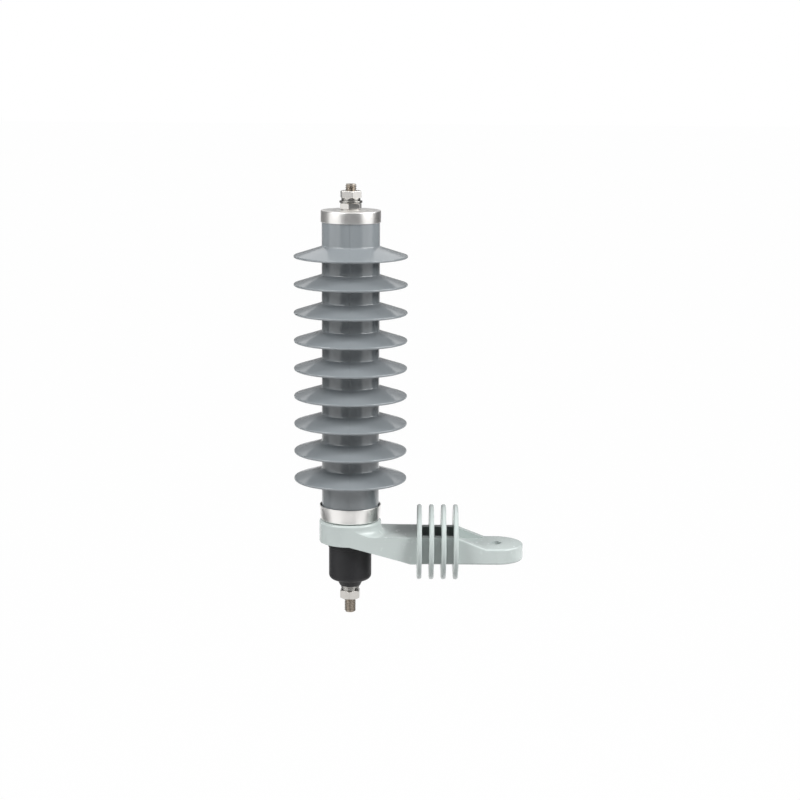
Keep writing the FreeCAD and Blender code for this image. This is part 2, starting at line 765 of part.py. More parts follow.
def insulating_bracket():
    """One moulding: collar, arm with a trough between two rails, end plate and fins."""
    body = sub_part("insulating_bracket", "0", x="0")
    collar = "Sizes.collar_diameter / 2"
    wide = "Sizes.collar_diameter"
    axis = "-Sizes.arm_reach"

    arm = sketch_on(body)
    start = from_collar("Sizes.fin_first")
    end = from_collar("Sizes.ramp_end")
    outline = [
        (start, "0"),
        ("Sizes.arm_width", "0"),
        ("Sizes.arm_width", "Sizes.plate_thickness"),
        (end, "Sizes.plate_thickness"),
        (from_collar("Sizes.ramp_start"), "Sizes.arm_top"),
        (start, "Sizes.arm_top"),
    ]
    draw_outline(arm, outline)
    extruded(body, arm, f"2 * {wide}", side="Symmetric")
    trim_to_plan(body)

    trough = sketch_on(body)
    outline = [
        (start, "Sizes.plate_thickness"),
        (end, "Sizes.plate_thickness"),
        (end, collar_top),
        (start, collar_top),
    ]
    draw_outline(trough, outline)
    extruded(body, trough, "Sizes.trough_width", "PartDesign::Pocket", side="Symmetric")
    eased(body, outline_edges(body.Tip, "Sizes.plate_thickness", "Sizes.arm_top"), "Sizes.edge_radius")
    eased(body, outline_edges(body.Tip, "0", "0"), "Sizes.edge_radius")

    neck = sketch_on(body)  # ends inside the first fin
    outline = [
        (f"{axis} - {wide}", "0"),
        (start, "0"),
        (start, "Sizes.arm_top"),
        (f"{axis} - {wide}", "Sizes.arm_top"),
    ]
    draw_outline(neck, outline)
    extruded(body, neck, f"2 * {wide}", side="Symmetric")

    belly = sketch_on(body)
    outline = [
        (f"{axis} - 2 * {wide}", "0"),
        (from_collar("Sizes.belly_length"), "0"),
        (axis, "Sizes.collar_base"),
        (f"{axis} - 2 * {wide}", "Sizes.collar_base"),
    ]
    draw_outline(belly, outline)
    extruded(body, belly, f"3 * {wide}", "PartDesign::Pocket", side="Symmetric")

    ring = sketch_on(body, "XY_Plane")
    ring.setExpression(".AttachmentOffset.Base.z", "Sizes.collar_base")
    draw_circle(ring, "Sizes.collar_diameter", x=axis)
    extruded(body, ring, "Sizes.collar_height - Sizes.cap_seat_height")
    eased(body, ring_edges(body.Tip, collar, "Sizes.arm_top", axis), "Sizes.throat_radius")
    trim_to_plan(body)
    eased(body, ring_edges(body.Tip, collar, collar_rim, axis), "Sizes.collar_top_radius")

    cap_seat = sketch_on(body, "XY_Plane")
    cap_seat.setExpression(".AttachmentOffset.Base.z", "Sizes.collar_base")
    draw_circle(cap_seat, "Sizes.cap_seat_diameter", x=axis)
    extruded(body, cap_seat, "Sizes.collar_height")

    recess = sketch_on(body, "XY_Plane")
    draw_circle(recess, "Sizes.housing_diameter + 2 * (Sizes.rim_step + Sizes.recess_gap)", x=axis)
    extruded(body, recess, seat, "PartDesign::Pocket", flip=True)
    holes = sketch_on(body, "XY_Plane")
    draw_circle(holes, "Sizes.link_hole", x=axis)
    draw_circle(holes, "Sizes.mount_hole")
    extruded(body, holes, collar_top, "PartDesign::Pocket", flip=True)

    joined = body.newObject("PartDesign::Boolean", "joined_fins")
    joined.Type = "Fuse"
    joined.setObjects([fin_set()])
    doc.recompute()


insulating_bracket()


# Disconnector --------------------------------------------------------------------------

cavity_radius = "(Sizes.housing_diameter / 2 - Sizes.housing_wall)"


def disconnector_housing():
    """A moulded cup, mouth up in the bracket's recess, with a tapered neck for the earth stud."""
    body = sub_part("disconnector_housing", seat)
    side = "Sizes.housing_diameter / 2"
    rim = f"({side} + Sizes.rim_step)"
    corner = f"-({shoulder_depth} - Sizes.shoulder_fall)"
    outline = [
        (rim, "0"),
        (rim, "-Sizes.rim_height"),
        (side, "-Sizes.rim_height - Sizes.rim_step"),
        (side, corner),
        ("Sizes.neck_top / 2", f"-{shoulder_depth}"),
        ("Sizes.neck_bottom / 2", f"-{foot_depth}"),
        (stud_clearance, f"-{foot_depth}"),
        (stud_clearance, f"-{cavity_depth}"),
        (cavity_radius, f"-{cavity_depth}"),
        (cavity_radius, "0"),
    ]
    turned(body, outline, {3: "Sizes.housing_corner"})


disconnector_housing()

stud(
    "link_stud",
    f"{seat} - Sizes.link_grip",
    f"({cap_floor} - ({seat}) + Sizes.link_grip + Sizes.stud_grip)",
)


def tapped_block(label, top, height, depth):
    """A turned block in the disconnector's cavity with a blind tapped hole in its top."""
    body = sub_part(label, f"{top} - {height}")
    outer = f"({cavity_radius} - Sizes.bond_gap)"
    floor = f"({height} - {depth})"
    outline = [
        ("0", "0"),
        (outer, "0"),
        (outer, height),
        (tapping, height),
        (tapping, floor),
        ("0", floor),
    ]
    turned(body, outline)


tapped_block(
    "disconnector_terminal",
    seat,
    "Sizes.terminal_height",
    "(Sizes.link_grip + Sizes.bond_gap)",
)
resistor_base = f"{seat} - Sizes.terminal_height - Sizes.resistor_height"
plain_ring(
    "grading_resistor",
    resistor_base,
    f"2 * ({cavity_radius} - Sizes.bond_gap)",
    "Sizes.resistor_height",
    "Sizes.resistor_bore",
)
plain_ring(
    "ignition_cartridge",
    resistor_base,
    "Sizes.resistor_bore - 2 * Sizes.cartridge_gap",
    "Sizes.resistor_height",
)


def earth_stud():
    """A headed stud: the head lies in the cavity and the shank leaves through the neck."""
    body = sub_part("earth_stud", earth_nut_base)
    tip = "-Sizes.earth_stud_tip"
    head_base = f"({seat} - {cavity_depth} - ({earth_nut_base}))"
    head = f"({cavity_radius} - Sizes.earth_head_gap)"
    shank = "Sizes.stud_diameter / 2"
    outline = [
        ("0", tip),
        (shank, tip),
        (shank, head_base),
        (head, head_base),
        (head, f"{head_base} + Sizes.earth_head_height"),
        ("0", f"{head_base} + Sizes.earth_head_height"),
    ]
    turned(body, outline)
    eased(body, ring_edges(body.Tip, shank, tip), "Sizes.stud_chamfer", "PartDesign::Chamfer")


earth_stud()
washer(
    "earth_flat_washer",
    earth_washer_base,
    "Sizes.earth_washer_diameter",
    "Sizes.earth_washer_thickness",
)
spring_washer(
    "earth_spring_washer",
    earth_spring_base,
    "Sizes.earth_spring_diameter",
    "Sizes.earth_spring_thickness",
    "Sizes.earth_spring_turn",
)
nut("earth_nut", earth_nut_base, "Sizes.earth_nut_height", "Sizes.earth_nut_turn")


# Checks and files ----------------------------------------------------------------------

doc.recompute()
for item in doc.Objects:
    if "Invalid" in item.State or "Error" in item.State:
        raise RuntimeError(f"{item.Label} didn't recompute: {item.State}")
for body in subparts:
    if body.Shape.isNull() or not body.Shape.isValid():
        raise RuntimeError(f"{body.Label} has no valid shape")

os.makedirs("parts", exist_ok=True)
for body in subparts:
    body.Shape.exportStep(f"parts/{body.Label}.step")
    print(body.Label, round(body.Shape.Volume, 1))
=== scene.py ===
import json
import math

import bmesh
import bpy
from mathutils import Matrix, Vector


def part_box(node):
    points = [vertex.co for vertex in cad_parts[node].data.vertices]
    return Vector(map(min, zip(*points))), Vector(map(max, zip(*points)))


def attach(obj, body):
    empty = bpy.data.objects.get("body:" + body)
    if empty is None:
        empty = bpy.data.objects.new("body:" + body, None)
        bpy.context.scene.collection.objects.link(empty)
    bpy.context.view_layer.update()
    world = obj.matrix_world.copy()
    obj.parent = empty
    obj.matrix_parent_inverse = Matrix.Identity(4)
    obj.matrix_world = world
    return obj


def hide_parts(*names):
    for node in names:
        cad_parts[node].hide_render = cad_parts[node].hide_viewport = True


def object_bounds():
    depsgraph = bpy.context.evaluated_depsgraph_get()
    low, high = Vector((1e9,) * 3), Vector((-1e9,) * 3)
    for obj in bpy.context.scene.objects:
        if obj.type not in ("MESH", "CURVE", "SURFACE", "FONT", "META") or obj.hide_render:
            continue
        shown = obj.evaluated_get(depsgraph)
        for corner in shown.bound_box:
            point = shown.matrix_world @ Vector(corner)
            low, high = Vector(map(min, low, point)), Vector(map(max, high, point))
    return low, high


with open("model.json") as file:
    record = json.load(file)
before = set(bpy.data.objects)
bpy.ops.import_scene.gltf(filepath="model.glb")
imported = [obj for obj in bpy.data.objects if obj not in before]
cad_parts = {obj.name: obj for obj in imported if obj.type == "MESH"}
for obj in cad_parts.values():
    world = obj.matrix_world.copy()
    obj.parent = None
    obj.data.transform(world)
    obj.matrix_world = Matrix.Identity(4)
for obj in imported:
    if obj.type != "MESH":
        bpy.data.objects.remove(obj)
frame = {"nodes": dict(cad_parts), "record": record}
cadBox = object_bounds()
print("frame loaded:", len(frame["nodes"]), "nodes")


# lengths are in metres, and angles in degrees where no note says otherwise

# the housing, caps, studs, nuts and washers all stand on this upright axis
studLow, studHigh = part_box("top_terminal_stud")
axisX = (studLow.x + studHigh.x) / 2
axisY = (studLow.y + studHigh.y) / 2
studRadius = (studHigh.x - studLow.x) / 2

weldDistance = 1e-6  # points nearer to each other than this become one


def newFinish(name, **sockets):
    finish = bpy.data.materials.new(name)
    finish.use_nodes = True
    shader = finish.node_tree.nodes["Principled BSDF"]
    for socket, value in sockets.items():
        shader.inputs[socket.replace("_", " ")].default_value = value
    return finish, shader


def addNode(owner, kind, **settings):
    # owner is a material or the world
    node = owner.node_tree.nodes.new(kind)
    for key, value in settings.items():
        if hasattr(node, key):
            setattr(node, key, value)
        else:
            node.inputs[key.replace("_", " ")].default_value = value
    return node


def link(owner, output, socket):
    owner.node_tree.links.new(output, socket)


def grain(finish, scale, detail, stretch=(1, 1, 1)):
    # object coordinates are metres in the part's own frame, so scale is per metre
    noise = addNode(finish, "ShaderNodeTexNoise", Scale=scale, Detail=detail)
    coords = addNode(finish, "ShaderNodeTexCoord")
    mapping = addNode(finish, "ShaderNodeMapping", Scale=stretch)
    link(finish, coords.outputs["Object"], mapping.inputs["Vector"])
    link(finish, mapping.outputs["Vector"], noise.inputs["Vector"])
    return noise.outputs["Fac"]


def mottleColour(finish, shader, share, dark, light):
    mix = addNode(finish, "ShaderNodeMix", data_type="RGBA")
    ends = [socket for socket in mix.inputs if socket.type == "RGBA"]
    ends[0].default_value = (*dark, 1)
    ends[1].default_value = (*light, 1)
    link(finish, share, mix.inputs["Factor"])
    tone = next(socket for socket in mix.outputs if socket.type == "RGBA")
    link(finish, tone, shader.inputs["Base Color"])


def spreadRoughness(finish, shader, share, low, high):
    spread = addNode(finish, "ShaderNodeMapRange", To_Min=low, To_Max=high)
    link(finish, share, spread.inputs["Value"])
    link(finish, spread.outputs["Result"], shader.inputs["Roughness"])


def addBump(finish, shader, height, strength, distance):
    bump = addNode(finish, "ShaderNodeBump", Strength=strength, Distance=distance)
    link(finish, height, bump.inputs["Height"])
    link(finish, bump.outputs["Normal"], shader.inputs["Normal"])


def siliconeRubber():
    finish, shader = newFinish("siliconeRubber", Specular_IOR_Level=1.0)
    patches = grain(finish, scale=35, detail=4)
    mottleColour(finish, shader, patches, dark=(0.200, 0.220, 0.232), light=(0.226, 0.247, 0.260))
    spreadRoughness(finish, shader, grain(finish, scale=120, detail=4), low=0.13, high=0.22)
    addBump(finish, shader, grain(finish, scale=60, detail=2), strength=0.05, distance=0.0004)
    return finish


def bracketMoulding():
    finish, shader = newFinish("bracketMoulding", Coat_Weight=0.25, Coat_Roughness=0.12)
    patches = grain(finish, scale=30, detail=4)
    mottleColour(finish, shader, patches, dark=(0.475, 0.525, 0.510), light=(0.515, 0.565, 0.550))
    spreadRoughness(finish, shader, grain(finish, scale=220, detail=4), low=0.18, high=0.32)
    addBump(finish, shader, grain(finish, scale=500, detail=3), strength=0.10, distance=0.0003)
    return finish


def blackMoulding():
    finish, shader = newFinish("blackMoulding", Specular_IOR_Level=0.35)
    patches = grain(finish, scale=90, detail=4)
    mottleColour(finish, shader, patches, dark=(0.012, 0.012, 0.013), light=(0.022, 0.022, 0.024))
    spreadRoughness(finish, shader, grain(finish, scale=300, detail=4), low=0.38, high=0.55)
    addBump(finish, shader, grain(finish, scale=1400, detail=3), strength=0.15, distance=0.0002)
    return finish


def drawnStainless():
    finish, shader = newFinish("drawnStainless", Metallic=1.0)
    patches = grain(finish, scale=60, detail=3)
    mottleColour(finish, shader, patches, dark=(0.90, 0.88, 0.85), light=(0.98, 0.97, 0.95))
    lines = grain(finish, scale=120, detail=2, stretch=(1, 1, 40))  # they run round the cup
    spreadRoughness(finish, shader, lines, low=0.24, high=0.36)
    addBump(finish, shader, lines, strength=0.06, distance=0.0001)
    return finish


def platedSteel(name, dark, light):
    finish, shader = newFinish(name, Metallic=1.0)
    mottleColour(finish, shader, grain(finish, scale=160, detail=3), dark, light)
    spreadRoughness(finish, shader, grain(finish, scale=300, detail=3), low=0.11, high=0.19)
    return finish


def rolledThread():
    finish, shader = newFinish("rolledThread", Metallic=1.0)
    patches = grain(finish, scale=400, detail=4)
    mottleColour(finish, shader, patches, dark=(0.42, 0.37, 0.32), light=(0.62, 0.57, 0.50))
    spreadRoughness(finish, shader, grain(finish, scale=900, detail=3), low=0.24, high=0.42)
    return finish


def turnedAluminium():
    finish, shader = newFinish("turnedAluminium", Metallic=1.0, Base_Color=(0.78, 0.78, 0.79, 1))
    turning = grain(finish, scale=200, detail=2, stretch=(1, 1, 30))
    spreadRoughness(finish, shader, turning, low=0.25, high=0.45)
    return finish


def woundFibreglass():
    finish, shader = newFinish("woundFibreglass", Roughness=0.35)
    strands = grain(finish, scale=300, detail=3, stretch=(1, 1, 12))
    mottleColour(finish, shader, strands, dark=(0.42, 0.36, 0.16), light=(0.58, 0.52, 0.28))
    return finish


def sealRubber():
    finish, shader = newFinish("sealRubber", Base_Color=(0.02, 0.02, 0.02, 1))
    spreadRoughness(finish, shader, grain(finish, scale=800, detail=3), low=0.55, high=0.75)
    return finish


def zincOxide():
    finish, shader = newFinish("zincOxide", Roughness=0.75)
    grit = grain(finish, scale=1500, detail=3)
    mottleColour(finish, shader, grit, dark=(0.045, 0.045, 0.048), light=(0.080, 0.080, 0.084))
    return finish


def resistorCeramic():
    finish, shader = newFinish("resistorCeramic", Base_Color=(0.18, 0.17, 0.16, 1))
    spreadRoughness(finish, shader, grain(finish, scale=1200, detail=3), low=0.5, high=0.7)
    return finish


def cartridgeBrass():
    finish, shader = newFinish("cartridgeBrass", Metallic=1.0, Base_Color=(0.70, 0.52, 0.22, 1))
    spreadRoughness(finish, shader, grain(finish, scale=600, detail=3), low=0.2, high=0.4)
    return finish


finishes = {
    "silicone_rubber": siliconeRubber(),
    "bracket_moulding": bracketMoulding(),
    "disconnector_moulding": blackMoulding(),
    "cap_steel": drawnStainless(),
    "fastener_steel": platedSteel("platedSteel", (0.72, 0.70, 0.67), (0.80, 0.78, 0.75)),
    "terminal_steel": platedSteel("terminalSteel", (0.55, 0.53, 0.50), (0.68, 0.66, 0.63)),
    # this darker steel also dresses the washers: partly their own duller finish, partly painted
    # shade for the dim gaps where they sit under the nuts
    "spring_steel": platedSteel("springSteelAndWasherShade", (0.36, 0.35, 0.33), (0.48, 0.47, 0.45)),
    "electrode_aluminium": turnedAluminium(),
    "contact_aluminium": turnedAluminium(),
    "wound_fibreglass": woundFibreglass(),
    "seal_rubber": sealRubber(),
    "zinc_oxide": zincOxide(),
    "resistor_ceramic": resistorCeramic(),
    "cartridge_brass": cartridgeBrass(),
}
threadFinish = rolledThread()

for part in frame["record"]["subparts"]:
    node = frame["nodes"][part["node"]]
    node.data.materials.clear()
    node.data.materials.append(finishes[part["material_slot"]])
print("finishes made:", len(finishes) + 1)


def addObject(name, data):
    thing = bpy.data.objects.new(name, data)
    bpy.context.scene.collection.objects.link(thing)
    return thing


def newPiece(name, build, finish, sharpAngle=30):
    # edges that turn by more than sharpAngle, in degrees, aren't smoothed
    mesh = bpy.data.meshes.new(name)
    bmesh.ops.remove_doubles(build, verts=build.verts, dist=weldDistance)
    bmesh.ops.recalc_face_normals(build, faces=build.faces)
    build.to_mesh(mesh)
    build.free()
    mesh.materials.append(finish)
    for face in mesh.polygons:
        face.use_smooth = True
    mesh.set_sharp_from_angle(angle=math.radians(sharpAngle))
    return addObject(name, mesh)


def standFor(piece, node):
    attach(piece, "root")
    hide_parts(node)


def roundCorners(corners, radii, steps=6):
    # corners are (radius, height); radii maps a corner's number to its rounding
    outline = []
    for number, corner in enumerate(corners):
        here = Vector(corner)
        if number not in radii:
            outline.append(tuple(here))
            continue
        back = (Vector(corners[number - 1]) - here).normalized()
        ahead = (Vector(corners[(number + 1) % len(corners)]) - here).normalized()
        half = back.angle(ahead) / 2
        centre = here + (back + ahead).normalized() * radii[number] / math.sin(half)
        run = radii[number] / math.tan(half)
        first = (here + back * run - centre).normalized()
        last = (here + ahead * run - centre).normalized()
        for step in range(steps + 1):
            outline.append(tuple(centre + first.slerp(last, step / steps) * radii[number]))
    return outline


def axisPoint(build, radius, angle, height):
    # a point given by its distance from the axis, its direction and its height
    return build.verts.new((
        axisX + radius * math.cos(angle),
        axisY + radius * math.sin(angle),
        height,
    ))


def joinOutlines(build, outlines, closed=True):
    # skins a row of alike outlines; closed joins the last one to the first
    followers = outlines[1:] + outlines[:1] if closed else outlines[1:]
    for outline, following in zip(outlines, followers):
        for corner in range(len(outline)):
            after = (corner + 1) % len(outline)
            build.faces.new((outline[corner], following[corner], following[after], outline[after]))


def lathe(outline, steps=96, seamAngles=(), seamHeight=0.0, seamSpread=0.0):
    # turns a closed outline about the axis; a mould seam stands out by seamHeight,
    # and falls away over the angle seamSpread
    build = bmesh.new()
    angles = [(2 * math.pi * step / steps, 0.0) for step in range(steps)]
    for angle in seamAngles:
        angles += [(angle - seamSpread, 0.0), (angle, seamHeight), (angle + seamSpread, 0.0)]
    outlines = [
        [axisPoint(build, radius + extra, angle, height) for radius, height in outline]
        for angle, extra in sorted(angles)
    ]
    joinOutlines(build, outlines)
    return build


shedSettings = {
    "count": 9,
    "rim": 0.002,  # thickness at the edge
    "fall": 0.0079,  # drop of the upper face from core to edge
    "undercut": 0.003,
    "coreRadius": 0.0253,
    "boreRadius": 0.0211,
    "rootRounding": 0.0019,
    "underRounding": 0.001,
    "rimRounding": 0.0008,
    "lowerMargin": 0.0342,  # housing's end to the lowest shed
    "upperMargin": 0.0376,
    "steps": 128,  # facets round the housing
    "seamHeight": 0.00018,
    "seamSpread": 0.012,  # radians
}


def makeHousing(settings):
    low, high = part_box("shed_housing")
    edge = (high.x - low.x) / 2 - settings["seamHeight"]
    core = settings["coreRadius"]
    half = settings["rim"] / 2
    span = high.z - low.z - settings["lowerMargin"] - settings["upperMargin"]
    pitch = span / (settings["count"] - 1)
    corners = [(settings["boreRadius"], low.z), (core, low.z)]
    radii = {}
    for shed in range(settings["count"]):
        level = low.z + settings["lowerMargin"] + shed * pitch
        first = len(corners)
        corners += [
            (core, level - half + settings["undercut"]),
            (edge, level - half),
            (edge, level + half),
            (core, level + half + settings["fall"]),
        ]
        radii[first] = settings["underRounding"]
        radii[first + 1] = radii[first + 2] = settings["rimRounding"]
        radii[first + 3] = settings["rootRounding"]
    corners += [(core, high.z), (settings["boreRadius"], high.z)]
    build = lathe(
        roundCorners(corners, radii),
        steps=settings["steps"],
        seamAngles=(math.pi / 2, 3 * math.pi / 2),  # at the back and at the front
        seamHeight=settings["seamHeight"],
        seamSpread=settings["seamSpread"],
    )
    piece = newPiece("shedHousing", build, finishes["silicone_rubber"])
    standFor(piece, "shed_housing")


makeHousing(shedSettings)
print("housing made")


capSettings = {
    "wall": 0.0008,
    "boreRadius": 0.0053,
    "topRounding": 0.0012,
    "bottomRounding": 0.0014,
    "lipRounding": 0.00035,
    "padRadius": 0.010,
    "padHeight": 0.0006,
    "padRounding": 0.0006,
    "flare": 0.0011,  # how far the bottom cap's lip stands out
    "pinHoleRadius": 0.002,
    "pinHoleSpacing": 0.027,
    "pinHoleSteps": 32,
    "drillLength": 0.0032,
}


def makeTopCap(settings):
    low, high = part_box("top_end_cap")
    outer = (high.x - low.x) / 2
    wall = settings["wall"]
    face = high.z - settings["padHeight"]
    pad = settings["padRadius"]
    corners = [
        (settings["boreRadius"], face - wall + settings["padHeight"]),
        (settings["boreRadius"], high.z),
        (pad - settings["padHeight"], high.z),
        (pad, face),
        (outer, face),
        (outer, low.z),
        (outer - wall, low.z),
        (outer - wall, face - wall),
        (pad, face - wall),
        (pad - settings["padHeight"], face - wall + settings["padHeight"]),
    ]
    radii = {
        2: settings["padRounding"], 3: settings["padRounding"],
        4: settings["topRounding"],
        5: settings["lipRounding"], 6: settings["lipRounding"],
        7: settings["topRounding"] - wall,
    }
    piece = newPiece("topCap", lathe(roundCorners(corners, radii)), finishes["cap_steel"])
    drillPinHoles(piece, settings, face)
    standFor(piece, "top_end_cap")


def drillPinHoles(piece, settings, face):
    for side in (-1, 1):
        bpy.ops.mesh.primitive_cylinder_add(
            vertices=settings["pinHoleSteps"],
            radius=settings["pinHoleRadius"],
            depth=settings["drillLength"],
            location=(axisX + side * settings["pinHoleSpacing"] / 2, axisY, face),
        )
        drill = bpy.context.object
        cut = piece.modifiers.new("pinHole", "BOOLEAN")
        cut.object = drill
        cut.solver = "EXACT"
        bpy.context.view_layer.objects.active = piece
        bpy.ops.object.modifier_apply(modifier=cut.name)
        bpy.data.objects.remove(drill)


def makeBottomCap(settings):
    low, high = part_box("bottom_end_cap")
    lip = (high.x - low.x) / 2
    outer = lip - settings["flare"]
    wall = settings["wall"]
    corners = [
        (settings["boreRadius"], low.z),
        (outer, low.z),
        (lip, high.z),
        (lip - wall, high.z),
        (outer - wall, low.z + wall),
        (settings["boreRadius"], low.z + wall),
    ]
    radii = {
        1: settings["bottomRounding"],
        2: settings["lipRounding"], 3: settings["lipRounding"],
        4: settings["bottomRounding"] - wall,
    }
    piece = newPiece("bottomCap", lathe(roundCorners(corners, radii)), finishes["cap_steel"])
    standFor(piece, "bottom_end_cap")


makeTopCap(capSettings)
makeBottomCap(capSettings)
print("caps made")


threadSettings = {
    "pitch": 0.0015,
    "depth": 0.00092,
    "chamfer": 0.001,
    "steps": 48,
    "sharpAngle": 40,
    "headDrop": 0.007,  # from the grading resistor down to the earth stud's shoulder
    # height along one turn, as shares of the pitch, and whether it is a crest
    "form": ((0.0, False), (0.25, False), (0.5625, True), (0.6875, True)),
}


def threadedRod(build, bottom, top, radius, settings):
    pitch = settings["pitch"]
    form = settings["form"]
    steps = settings["steps"]
    tip = radius - settings["chamfer"]
    turns = math.ceil((top - bottom) / pitch) + 2  # one to spare at either end
    columns = []
    for step in range(steps):
        angle = 2 * math.pi * step / steps
        column = []
        for row in range(turns * len(form)):
            share, crest = form[row % len(form)]
            height = bottom + (row // len(form) - 1 + share + step / steps) * pitch
            height = min(max(height, bottom), top)
            reach = radius if crest else radius - settings["depth"]
            reach = min(reach, tip + min(height - bottom, top - height))
            column.append(axisPoint(build, reach, angle, height))
        columns.append(column)
    for step, column in enumerate(columns):
        following = columns[(step + 1) % steps]
        rise = len(form) if step == steps - 1 else 0  # the helix has climbed one turn here
        for row in range(len(column) - 1 - rise):
            quad = (column[row], following[row + rise], following[row + rise + 1], column[row + 1])
            build.faces.new(quad)
    bmesh.ops.remove_doubles(build, verts=build.verts, dist=weldDistance)
    bmesh.ops.dissolve_degenerate(build, edges=build.edges, dist=weldDistance)
    bmesh.ops.holes_fill(build, edges=build.edges, sides=0)  # closes both ends


def makeLineStud(settings):
    build = bmesh.new()
    threadedRod(build, studLow.z, studHigh.z, studRadius, settings)
    piece = newPiece("lineStud", build, threadFinish, settings["sharpAngle"])
    standFor(piece, "top_terminal_stud")


def makeEarthStud(settings):
    low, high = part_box("earth_stud")
    head = (high.x - low.x) / 2
    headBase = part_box("grading_resistor")[0].z - settings["headDrop"]
    build = lathe([(0, headBase), (0, high.z), (head, high.z), (head, headBase)])
    threadedRod(build, low.z, headBase, studRadius, settings)
    piece = newPiece("earthStud", build, threadFinish, settings["sharpAngle"])
    standFor(piece, "earth_stud")


makeLineStud(threadSettings)
makeEarthStud(threadSettings)
print("studs made")


nutSettings = {
    "acrossFlats": 0.017,
    "boreRadius": 0.0051,
    "faceInset": 0.00035,  # from the flats in to where the chamfer starts
    "chamferAngle": 30,
    "countersink": 0.0006,
    "steps": 72,
    "edgeBevel": 0.00018,
    "edgeSegments": 2,
    "edgeAngle": 20,  # sharper edges than this are bevelled
    "turns": {"top_lock_nut": 20, "top_clamp_nut": 40, "earth_nut": 26.2},  # degrees
    "finishes": {
        "top_lock_nut": "fastener_steel",
        "top_clamp_nut": "fastener_steel",
        # painted shade: the earth nut is the same steel as the top nuts, but takes the darker
        # terminal steel so that its flats mirror the white floor less brightly
        "earth_nut": "terminal_steel",
    },
}


def makeNut(name, node, settings):
    low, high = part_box(node)
    half = settings["acrossFlats"] / 2
    face = half - settings["faceInset"]
    slope = math.tan(math.radians(settings["chamferAngle"]))
    bore = settings["boreRadius"]
    sink = settings["countersink"]
    start = math.radians(settings["turns"][node])
    build = bmesh.new()
    columns = []
    for step in range(settings["steps"]):
        angle = 2 * math.pi * step / settings["steps"]
        fromFlat = angle % (math.pi / 3) - math.pi / 6  # from the middle of this flat
        reach = half / math.cos(fromFlat)
        drop = (reach - face) * slope
        outline = [
            (bore, low.z + sink), (bore + sink, low.z), (face, low.z), (reach, low.z + drop),
            (reach, high.z - drop), (face, high.z), (bore + sink, high.z), (bore, high.z - sink),
        ]
        columns.append([
            axisPoint(build, radius, angle + start, height) for radius, height in outline
        ])
    joinOutlines(build, columns)
    finish = finishes[settings["finishes"][node]]
    piece = newPiece(name, build, finish, settings["edgeAngle"])
    bevel = piece.modifiers.new("edges", "BEVEL")
    bevel.width = settings["edgeBevel"]
    bevel.segments = settings["edgeSegments"]
    bevel.limit_method = "ANGLE"
    bevel.angle_limit = math.radians(settings["edgeAngle"])
    bevel.harden_normals = True
    standFor(piece, node)


washerSettings = {
    "boreRadius": 0.0053,
    "rounding": 0.0003,
    "roundingSteps": 3,
    "sharpAngle": 40,
    "splitWidth": 0.0014,
    "splitLean": 0.001,  # how far the split leans over from face to face
    "steps": 72,
    "splitAngles": {"top_spring_washer": 0, "earth_spring_washer": -50},  # degrees
}


def washerOutline(node, settings):
    low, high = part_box(node)
    bore = settings["boreRadius"]
    outer = (high.y - low.y) / 2
    corners = [(bore, low.z), (outer, low.z), (outer, high.z), (bore, high.z)]
    radii = dict.fromkeys(range(len(corners)), settings["rounding"])
    return roundCorners(corners, radii, settings["roundingSteps"])


def makeWasher(name, node, settings):
    build = lathe(washerOutline(node, settings))
    # the darker spring steel here is partly the washer's duller finish, partly painted shade for
    # the gap under the nut
    piece = newPiece(name, build, finishes["spring_steel"], settings["sharpAngle"])
    standFor(piece, node)


def makeSpringWasher(name, node, settings):
    low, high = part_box(node)
    outline = washerOutline(node, settings)
    split = math.radians(settings["splitAngles"][node])
    build = bmesh.new()
    stations = []
    for step in range(settings["steps"] + 1):
        share = step / settings["steps"]
        station = []
        for radius, height in outline:
            lean = settings["splitLean"] * ((height - low.z) / (high.z - low.z) - 0.5)
            ring = 2 * math.pi * radius - settings["splitWidth"]
            run = settings["splitWidth"] / 2 + share * ring
            angle = split + (run + lean) / radius
            station.append(axisPoint(build, radius, angle, height))
        stations.append(station)
    joinOutlines(build, stations, closed=False)
    build.faces.new(stations[0])
    build.faces.new(stations[-1])
    # the darker spring steel here is partly the washer's duller finish, partly painted shade for
    # the gap under the nut
    piece = newPiece(name, build, finishes["spring_steel"], settings["sharpAngle"])
    standFor(piece, node)


makeNut("lockNut", "top_lock_nut", nutSettings)
makeNut("clampNut", "top_clamp_nut", nutSettings)
makeNut("earthNut", "earth_nut", nutSettings)
makeWasher("lineWasher", "top_flat_washer", washerSettings)
makeWasher("earthWasher", "earth_flat_washer", washerSettings)
makeSpringWasher("lineSpringWasher", "top_spring_washer", washerSettings)
makeSpringWasher("earthSpringWasher", "earth_spring_washer", washerSettings)
print("fasteners made")


stageSettings = {
    "floorDrop": 0.12,
    "floorSize": 30,
    "floorColour": (0.45, 0.45, 0.45, 1),
    "floorRoughness": 0.9,
    "floorGlow": 0.99,  # share of plain white that the camera sees on the floor
    "skyHigh": (0.36, 0.37, 0.384, 1),  # overhead
    "skyLow": (0.04, 0.041, 0.043, 1),  # at the horizon and below
}


def seenRays(owner):
    # 1 for rays that come from the camera, a mirroring surface or clear glass
    rays = addNode(owner, "ShaderNodeLightPath")
    seen = rays.outputs["Is Camera Ray"]
    for kind in ("Is Glossy Ray", "Is Transmission Ray"):
        either = addNode(owner, "ShaderNodeMath", operation="MAXIMUM")
        link(owner, seen, either.inputs[0])
        link(owner, rays.outputs[kind], either.inputs[1])
        seen = either.outputs[0]
    return seen


